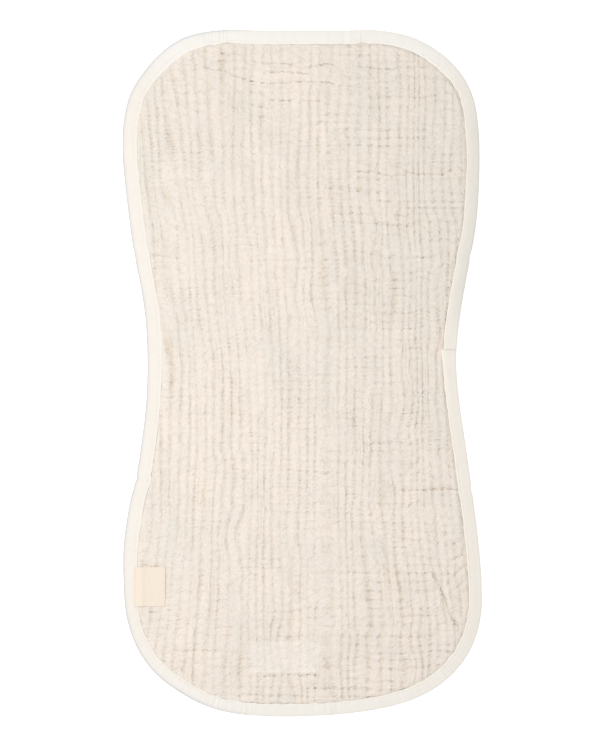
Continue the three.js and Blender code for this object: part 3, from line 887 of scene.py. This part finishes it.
def tape_extra(x, y):
    """How much wider than elsewhere the tape is: on the left above the tab, and along the top."""
    left = smooth_step(-x, 60.0, 110.0) * smooth_step(y, -195.0, -150.0)
    return 1.4 * left + 0.6 * smooth_step(y, 222.0, 248.0)


def gather_strength(x, y):
    """How strongly the tape is puckered, 1 on a plain stretch and more near each gather."""
    strength = np.ones(np.shape(x))
    for gather in GATHERS:
        away = np.hypot(x - gather.x, y - gather.y)
        strength = strength + GATHER_GAIN * gather.strength * bell(away, 0.0, gather.reach)
    return strength


def lap_lift(along):
    """Extra height of the tape's folded end over the other end: two plies, down to none."""
    first = 0.75 - 0.18 * smooth_step(along, 2.0, 2.6)
    return first * (1.0 - smooth_step(along, 3.6, 9.0))


def tape_tones(x, y, inset, on_top, strength):
    """Amounts by which the tape's material is toned, by name: painted shade on the rim at the left,
    a painted highlight on the bead at the inner edge, wider just below the join, and on the outer
    edge low on the right, painted cooler light at the top and bottom, painted shade on the upper
    right, and how strongly it is gathered."""
    right = smooth_step(x, 30.0, 100.0)
    low = 1.0 - smooth_step(y, 20.0, 60.0)
    below_join = smooth_step(LAP_Y - y, 0.0, 1.5) * (1.0 - smooth_step(-y, 5.0, 40.0))
    # Painted shade on the fold at the left.
    rim_shade = bell(inset, 0.5, 0.8) + 0.12 * np.exp(-inset / 3.0)
    # Painted highlight on the bead, and on the outer edge low on the right.
    bead_highlight = (on_top * (0.4 + 0.6 * right) * bell(inset, 9.35, 0.6)
            + on_top * 0.7 * below_join * right * bell(inset, 8.7, 0.9)
            + 0.6 * low * right * bell(inset, 0.5, 1.4))
    # Painted shade on the upper right.
    upper_right_shade = right * (1.0 - low) * (1.0 - smooth_step(y, 180.0, 222.0))
    plain = np.zeros(np.shape(inset))
    return {"rim_shade": rim_shade * smooth_step(-x, 20.0, 90.0),
            "bead_highlight": np.clip(bead_highlight, 0.0, 1.0),
            "cool_painted_light": smooth_step(y, 215.0, 250.0) + 0.5 * smooth_step(-y, 195.0, 245.0) + plain,
            "upper_right_shade": upper_right_shade * (1.0 - 0.6 * smooth_step(inset, 4.0, 9.0)),
            "gathered": np.clip((strength - 1.0) / GATHER_GAIN, 0.0, 1.0) + plain}


def tape_mesh(outline, station):
    """Points, faces, UV and tones of the tape: its closed band carried round the outline and a
    little past its start. Small waves, noise of the distance along, push the upper ply up and
    down and its inner edge in and out, the old folds cross it as troughs, and the start is
    lifted over the end, which runs below it."""
    length = distance_along(closed(outline))[-1]
    count = int((length + LAP_UNDER) / station) + 1
    along = np.linspace(0.0, length + LAP_UNDER, count)
    loop_along = np.arange(len(outline) + 1) * length / len(outline)
    x, y, way_x, way_y = (np.interp(along % length, loop_along, closed(pairs)[:, k])[:, None]
                          for pairs in (outline, inward_normals(outline)) for k in (0, 1))
    band = tape_sides(TAPE_PROFILE)
    profile_inset = np.repeat(band[None, :, 0], count, axis=0)
    inset = profile_inset
    z = np.repeat(band[None, :, 1], count, axis=0)
    s = np.repeat(along[:, None], band.shape[0], axis=1)
    upper = smooth_step(z, 1.4, 2.2) * smooth_step(inset, 0.5, 5.0)
    strength = gather_strength(x, y)
    waves = 0.09 * soft_noise(s, inset * 0.6, 7.5, 6.0, 81) + 0.055 * soft_noise(s, inset, 2.9, 8.0, 82)
    z = z + (waves * strength + 0.12 * line_noise(s, 34.0, 83)) * upper
    before_lap = length - s
    inset = inset + smooth_step(inset, 5.5, 9.0) * (
        tape_extra(x, y) + 0.22 * line_noise(s, 6.0, 84) * strength + 0.25 * line_noise(s, 26.0, 85)
        + 1.3 * bell(np.maximum(before_lap, 0.0), 0.0, 11.0) * smooth_step(before_lap, -0.4, 0.6))
    for kink in KINKS:
        away = np.hypot(x - kink.x, y - kink.y)
        z = z - upper * kink.push * (0.5 * bell(away, 0.0, 1.6) - 0.3 * bell(away, 3.2, 1.6))
    z = z + lap_lift(along)[:, None] * smooth_step(z, 1.2, 2.0)
    points = np.stack((x + way_x * inset, y + way_y * inset, z), -1)
    sides = grid_faces(count, band.shape[0], joined=True)
    half = len(TAPE_PROFILE)
    left = np.arange(half - 1)
    cap = np.column_stack((left, left + 1, 2 * half - 2 - left, 2 * half - 1 - left))
    last = (count - 1) * 2 * half
    faces = [sides[:, ::-1], cap, cap[:, ::-1] + last]
    across = np.repeat(distance_along(band)[None, :], count, axis=0)
    tones = tape_tones(x, y, profile_inset, smooth_step(z, 1.0, 2.2), strength)
    return points.reshape(-1, 3), faces, s, across, tones


def outline_path(outline, inset, pitch, height):
    """Places a stitch apart along a line at that inset, with their directions, all round."""
    line = even_loop(outline + inward_normals(outline) * inset, len(outline))
    length = distance_along(closed(line))[-1]
    places = even_loop(line, int(round(length / pitch)))
    ahead = np.roll(places, -1, axis=0) - np.roll(places, 1, axis=0)
    centres = np.column_stack((places, np.full(len(places), height)))
    directions = np.column_stack((ahead, np.zeros(len(places))))
    return centres, directions / np.linalg.norm(directions, axis=1)[:, None]


def run_path(start, end, pitch, height):
    """Places a stitch apart along a straight run, with their direction."""
    start, end = np.array(start, float), np.array(end, float)
    length = np.linalg.norm(end - start)
    t = (np.arange(int(length / pitch)) + 0.5)[:, None] / int(length / pitch)
    places = start + (end - start) * t
    way = np.append((end - start) / length, 0.0)
    return (np.column_stack((places, np.full(len(places), height))),
            np.repeat(way[None, :], len(places), axis=0))


def stitches(centres, directions, pitch, radius, kind):
    """Points and faces of a row of stitches of one kind. Each is a slim ellipsoid, four steps long
    and six round, whose middle stands above its ends by a parabola of the kind's arch."""
    length, radius = pitch * kind.length, radius * kind.thickness
    steps = np.array((-0.72, 0.0, 0.72))
    around = np.linspace(0.0, 2 * np.pi, 6, endpoint=False)
    along, turn = [part.reshape(-1) for part in np.meshgrid(steps, around, indexing="ij")]
    ring = radius * np.sqrt(1.0 - along ** 2)
    along = np.concatenate(([-1.0], along, [1.0]))
    side = np.concatenate(([0.0], ring * np.cos(turn), [0.0]))
    rise = np.concatenate(([0.0], ring * np.sin(turn), [0.0])) + kind.arch * (1.0 - along ** 2)
    beside = np.column_stack((-directions[:, 1], directions[:, 0], np.zeros(len(directions))))
    up = np.array((0.0, 0.0, 1.0))
    points = (centres[:, None] + directions[:, None] * (along * length / 2)[None, :, None]
              + beside[:, None] * side[None, :, None] + up * rise[None, :, None])
    ahead = (np.arange(6) + 1) % 6
    here = np.arange(6)
    quads = np.vstack([np.column_stack((1 + k * 6 + here, 1 + k * 6 + ahead,
                                        7 + k * 6 + ahead, 7 + k * 6 + here)) for k in (0, 1)])
    first = np.column_stack((np.zeros(6, int), 1 + ahead, 1 + here))
    last = np.column_stack((np.full(6, 19), 13 + here, 13 + ahead))
    shift = (np.arange(len(centres)) * 20)[:, None, None]
    return points.reshape(-1, 3), [(quads[None] + shift).reshape(-1, 4),
                                   (np.vstack((first, last))[None] + shift).reshape(-1, 3)]


def join_shapes(shapes):
    """Several lists of points and faces as one."""
    points, fours, threes, total = [], [], [], 0
    for some_points, (some_fours, some_threes) in shapes:
        points.append(some_points)
        fours.append(some_fours + total)
        threes.append(some_threes + total)
        total += len(some_points)
    return np.vstack(points), [np.vstack(fours), np.vstack(threes)]


# The tab

def ribbon_mesh(columns, rows, thickness):
    """Points, faces and UV of the ribbon tab: a face on a grid, the same grid lower down for its
    back, and a wall between their borders. The face bows up a little in its middle, over the
    step of the tape below, and rolls down at its cut edges."""
    u, v = np.meshgrid(np.linspace(0.0, 1.0, columns), np.linspace(0.0, 1.0, rows))
    x = TAB_LEFT + (TAB_RIGHT - TAB_LEFT) * u
    y = TAB_BOTTOM + (TAB_TOP - TAB_BOTTOM) * v
    x = x + 0.25 * line_noise(y, 9.0, 91) * smooth_step(u, 0.5, 1.0)
    y = y + 0.2 * line_noise(x, 8.0, 92) * (2.0 * v - 1.0) ** 3
    edge = np.minimum(np.minimum(u, 1.0 - u) * (TAB_RIGHT - TAB_LEFT),
                      np.minimum(v, 1.0 - v) * (TAB_TOP - TAB_BOTTOM))
    bow = 0.15 * np.sin(np.pi * v) * smooth_step(u, 0.1, 0.6) + 0.10 * soft_noise(x, y, 7.0, 8.0, 93)
    low = 0.50 * smooth_step(x - TAB_LEFT, 5.5, 9.5)
    z = TAB_HEIGHT - low + thickness + np.maximum(bow, -0.05) - 0.15 * (1.0 - smooth_step(edge, 0.0, 0.9))
    z = z - 0.12 * bell(x - TAB_LEFT, TAB_SEAM_INSET, 0.5)
    face = np.stack((x, y, z), -1).reshape(-1, 3)
    back = np.stack((x, y, np.maximum(z - thickness, TAB_HEIGHT - low)), -1).reshape(-1, 3)
    border = border_indices(rows, columns)
    ahead = np.roll(border, -1)
    wall = np.column_stack((border, border + face.shape[0], ahead + face.shape[0], ahead))
    faces = [grid_faces(rows, columns), grid_faces(rows, columns)[:, ::-1] + face.shape[0], wall]
    fold = 1.0 - smooth_step(x - TAB_LEFT, 5.2, 5.9)
    return np.vstack((face, back)), faces, np.tile(y.reshape(-1), 2), np.tile(x.reshape(-1), 2), \
        np.tile(fold.reshape(-1), 2)


# Sizes and colours that a user would change

COLOUR_PICKER = {"subtype": "COLOR", "size": 3, "min": 0.0, "max": 1.0}


class BurpClothMuslin(bpy.types.PropertyGroup):
    colour: bpy.props.FloatVectorProperty(
        name="Colour", description="Colour of the muslin", default=(0.750, 0.675, 0.608),
        **COLOUR_PICKER)
    rib_pitch: bpy.props.FloatProperty(
        name="Rib pitch", description="Distance between the crinkled ribs", unit="LENGTH",
        min=0.004, max=0.02, default=0.0067)
    puff_length: bpy.props.FloatProperty(
        name="Puff length", description="Distance between the creases across a rib", unit="LENGTH",
        min=0.004, max=0.03, default=0.0066)
    relief: bpy.props.FloatProperty(
        name="Relief", description="Height of the ribs above their valleys", unit="LENGTH",
        min=0.0, max=0.002, default=0.00115)
    columns: bpy.props.IntProperty(
        name="Columns", description="Grid lines across the cloth, an odd number",
        min=41, max=241, default=209)
    rows: bpy.props.IntProperty(
        name="Rows", description="Grid lines along the cloth, an odd number",
        min=81, max=481, default=381)


class BurpClothBinding(bpy.types.PropertyGroup):
    colour: bpy.props.FloatVectorProperty(
        name="Colour", description="Colour of the bias tape", default=(0.752, 0.708, 0.648),
        **COLOUR_PICKER)
    station: bpy.props.FloatProperty(
        name="Station", description="Length of tape between two rows of the mesh", unit="LENGTH",
        min=0.001, max=0.01, default=0.0012)


class BurpClothTab(bpy.types.PropertyGroup):
    colour: bpy.props.FloatVectorProperty(
        name="Colour", description="Colour of the ribbon tab", default=(0.76, 0.665, 0.555),
        **COLOUR_PICKER)
    thickness: bpy.props.FloatProperty(
        name="Thickness", description="Thickness of the ribbon", unit="LENGTH",
        min=0.0002, max=0.001, default=0.00035)
    columns: bpy.props.IntProperty(
        name="Columns", description="Grid lines across the ribbon", min=8, max=96, default=48)
    rows: bpy.props.IntProperty(
        name="Rows", description="Grid lines along the ribbon", min=8, max=120, default=60)


class BurpClothThread(bpy.types.PropertyGroup):
    colour: bpy.props.FloatVectorProperty(
        name="Colour", description="Colour of the sewing thread", default=(0.80, 0.755, 0.685),
        **COLOUR_PICKER)
    pitch: bpy.props.FloatProperty(
        name="Stitch pitch", description="Distance between two stitches", unit="LENGTH",
        min=0.0015, max=0.006, default=0.0029)
    radius: bpy.props.FloatProperty(
        name="Thread radius", description="Half the thickness of the thread", unit="LENGTH",
        min=0.0001, max=0.0004, default=0.0002)


class BurpClothStage(bpy.types.PropertyGroup):
    floor_colour: bpy.props.FloatVectorProperty(
        name="Floor colour", description="Colour of the floor", default=(0.94, 0.94, 0.94),
        **COLOUR_PICKER)
    key_power: bpy.props.FloatProperty(
        name="Key light", description="Power of the soft light at the upper left in watts",
        min=0.0, max=500.0, default=9.9)
    sky: bpy.props.FloatProperty(
        name="Sky", description="Brightness of the even light from all round",
        min=0.0, max=3.0, default=0.71)
    lens: bpy.props.FloatProperty(
        name="Lens", description="Focal length of the camera in millimetres",
        min=35.0, max=200.0, default=100.0)
    view_height: bpy.props.FloatProperty(
        name="View height", description="Length of floor that the picture shows from top to bottom",
        unit="LENGTH", min=0.3, max=1.0, default=0.5675)


# Operators: one for each piece or group of like pieces

def as_mm(length):
    """Metres as millimetres."""
    return length / MM


class BURPCLOTH_OT_muslin(bpy.types.Operator):
    """Make the crinkled muslin panel"""
    bl_idname = "burpcloth.muslin"
    bl_label = "Muslin panel"

    def execute(self, context):
        sizes = context.scene.burpcloth_muslin
        outline = cloth_outline()
        points, faces, numbers = muslin_mesh(outline, sizes.columns, sizes.rows, as_mm(sizes.rib_pitch),
                                             as_mm(sizes.puff_length), as_mm(sizes.relief))
        panel = add_piece("muslin_panel", points, faces, muslin_material(sizes.colour))
        for name, values in numbers.items():
            set_attribute(panel, name, values)
        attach(panel, "root")
        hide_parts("panel")
        edge = outline + inward_normals(outline) * MUSLIN_INSET
        ahead = np.roll(edge, -1, axis=0)
        area = 0.5 * abs((edge[:, 0] * ahead[:, 1] - ahead[:, 0] * edge[:, 1]).sum()) * MM * MM
        return {"FINISHED"}


class BURPCLOTH_OT_binding(bpy.types.Operator):
    """Make the bias tape folded over the edge, and the seam that holds it"""
    bl_idname = "burpcloth.binding"
    bl_label = "Binding and its seam"

    def execute(self, context):
        sizes = context.scene.burpcloth_binding
        thread = context.scene.burpcloth_thread
        outline = cloth_outline()
        points, faces, along, across, tones = tape_mesh(outline, as_mm(sizes.station))
        tape = add_piece("binding_tape", points, faces, tape_material(sizes.colour))
        set_point_uv(tape, along, across)
        for name, values in tones.items():
            set_attribute(tape, name, values)
        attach(tape, "root")
        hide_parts("binding")
        float(along.max() * MM)
        pitch, radius = as_mm(thread.pitch), as_mm(thread.radius)
        rows = [stitches(*outline_path(outline, SEAM_INSET, pitch, height), pitch, radius, kind)
                for height, kind in ((SEAM_TOP, TOP_STITCH), (SEAM_UNDER, UNDER_STITCH))]
        seam = add_piece("binding_seam", *join_shapes(rows), thread_material(thread.colour))
        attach(seam, "root")
        return {"FINISHED"}


class BURPCLOTH_OT_tab(bpy.types.Operator):
    """Make the ribbon tab and the seams of the tab and of the lower mark"""
    bl_idname = "burpcloth.tab"
    bl_label = "Ribbon tab and small seams"

    def execute(self, context):
        sizes = context.scene.burpcloth_tab
        thread = context.scene.burpcloth_thread
        points, faces, along, across, fold = ribbon_mesh(sizes.columns, sizes.rows,
                                                         as_mm(sizes.thickness))
        ribbon = add_piece("side_tab_ribbon", points, faces, ribbon_material(sizes.colour))
        set_point_uv(ribbon, along, across)
        set_attribute(ribbon, "under_fold", fold)
        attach(ribbon, "root")
        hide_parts("side_tab")
        pitch, radius = as_mm(thread.pitch), as_mm(thread.radius)
        line = TAB_LEFT + TAB_SEAM_INSET
        row = run_path((line, TAB_BOTTOM + 0.5), (line, TAB_TOP - 0.5), TAB_SEAM_PITCH,
                       TAB_HEIGHT + as_mm(sizes.thickness) + 0.02)
        seam = add_piece("side_tab_seam", *stitches(*row, TAB_SEAM_PITCH, radius, TAB_STITCH),
                         thread_material(thread.colour))
        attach(seam, "root")
        mark = LOWER_MARK
        corners = [(mark.x + way_x * mark.width / 2, mark.y + way_y * mark.height / 2)
                   for way_x, way_y in ((-1, -1), (1, -1), (1, 1), (-1, 1), (-1, -1))]
        rows = [stitches(*run_path(a, b, pitch, MARK_SEAM_HEIGHT), pitch, radius, MARK_STITCH)
                for a, b in zip(corners[:-1], corners[1:])]
        outline_seam = add_piece("patch_mark_seam", *join_shapes(rows), thread_material(thread.colour))
        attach(outline_seam, "root")
        return {"FINISHED"}


class BURPCLOTH_OT_stage(bpy.types.Operator):
    """Make the floor, the lights and the camera"""
    bl_idname = "burpcloth.stage"
    bl_label = "Stage"

    def execute(self, context):
        sizes = context.scene.burpcloth_stage
        scene = context.scene
        corners = np.array(((-1, -1, 0), (1, -1, 0), (1, 1, 0), (-1, 1, 0))) * FLOOR_HALF
        floor = add_piece("floor", corners, [np.array(((0, 1, 2, 3),))],
                          floor_material(sizes.floor_colour), smooth=False)

        world = bpy.data.worlds.new("soft_white_room")
        world.use_nodes = True
        background = world.node_tree.nodes["Background"]
        background.inputs["Color"].default_value = (1.0, 1.0, 1.0, 1.0)
        background.inputs["Strength"].default_value = sizes.sky
        scene.world = world
        scene.view_settings.view_transform = "Standard"

        key = bpy.data.lights.new("key_softbox", "AREA")
        key.shape = "RECTANGLE"
        key.size = LAMP_SIZE
        key.size_y = LAMP_SIZE
        key.energy = sizes.key_power
        lamp = bpy.data.objects.new("key_softbox", key)
        lamp.location = LAMP_PLACE
        aim_at(lamp, (0.0, 0.0, 0.0))
        scene.collection.objects.link(lamp)

        camera = bpy.data.cameras.new("straight_down")
        camera.lens = sizes.lens
        camera.sensor_width = SENSOR_WIDTH
        camera.clip_end = 50.0
        eye = bpy.data.objects.new("straight_down", camera)
        eye.location = (*VIEW_CENTRE, sizes.lens / SENSOR_WIDTH * sizes.view_height + CLOTH_MIDDLE)
        scene.collection.objects.link(eye)
        scene.camera = eye
        return {"FINISHED"}


def aim_at(thing, target):
    """Turns a light so that its own -Z axis points at the target."""
    offset = [t - p for t, p in zip(target, thing.location)]
    flat = math.hypot(offset[0], offset[1])
    thing.rotation_euler = (math.atan2(flat, -offset[2]), 0.0,
                            math.atan2(offset[1], offset[0]) - math.pi / 2)


class BURPCLOTH_PT_sidebar(bpy.types.Panel):
    """Sizes and colours of the burp cloth"""
    bl_idname = "BURPCLOTH_PT_sidebar"
    bl_label = "Burp cloth"
    bl_space_type = "VIEW_3D"
    bl_region_type = "UI"
    bl_category = "Burp cloth"

    def draw(self, context):
        for operator, group in (
                ("burpcloth.muslin", context.scene.burpcloth_muslin),
                ("burpcloth.binding", context.scene.burpcloth_binding),
                ("burpcloth.tab", context.scene.burpcloth_tab),
                (None, context.scene.burpcloth_thread),
                ("burpcloth.stage", context.scene.burpcloth_stage)):
            box = self.layout.box()
            if operator:
                box.operator(operator)
            for name in group.bl_rna.properties.keys():
                if name not in ("rna_type", "name"):
                    box.prop(group, name)


GROUPS = (
    ("burpcloth_muslin", BurpClothMuslin),
    ("burpcloth_binding", BurpClothBinding),
    ("burpcloth_tab", BurpClothTab),
    ("burpcloth_thread", BurpClothThread),
    ("burpcloth_stage", BurpClothStage),
)
CLASSES = (
    BURPCLOTH_OT_muslin,
    BURPCLOTH_OT_binding,
    BURPCLOTH_OT_tab,
    BURPCLOTH_OT_stage,
    BURPCLOTH_PT_sidebar,
)


def register():
    for name, group in GROUPS:
        bpy.utils.register_class(group)
        setattr(bpy.types.Scene, name, bpy.props.PointerProperty(type=group))
    for each in CLASSES:
        bpy.utils.register_class(each)


def unregister():
    for each in reversed(CLASSES):
        bpy.utils.unregister_class(each)
    for name, group in reversed(GROUPS):
        delattr(bpy.types.Scene, name)
        bpy.utils.unregister_class(group)


def main():
    register()
    bpy.ops.burpcloth.stage()
    bpy.ops.burpcloth.muslin()
    bpy.ops.burpcloth.binding()
    bpy.ops.burpcloth.tab()


if __name__ == "__main__":
    main()
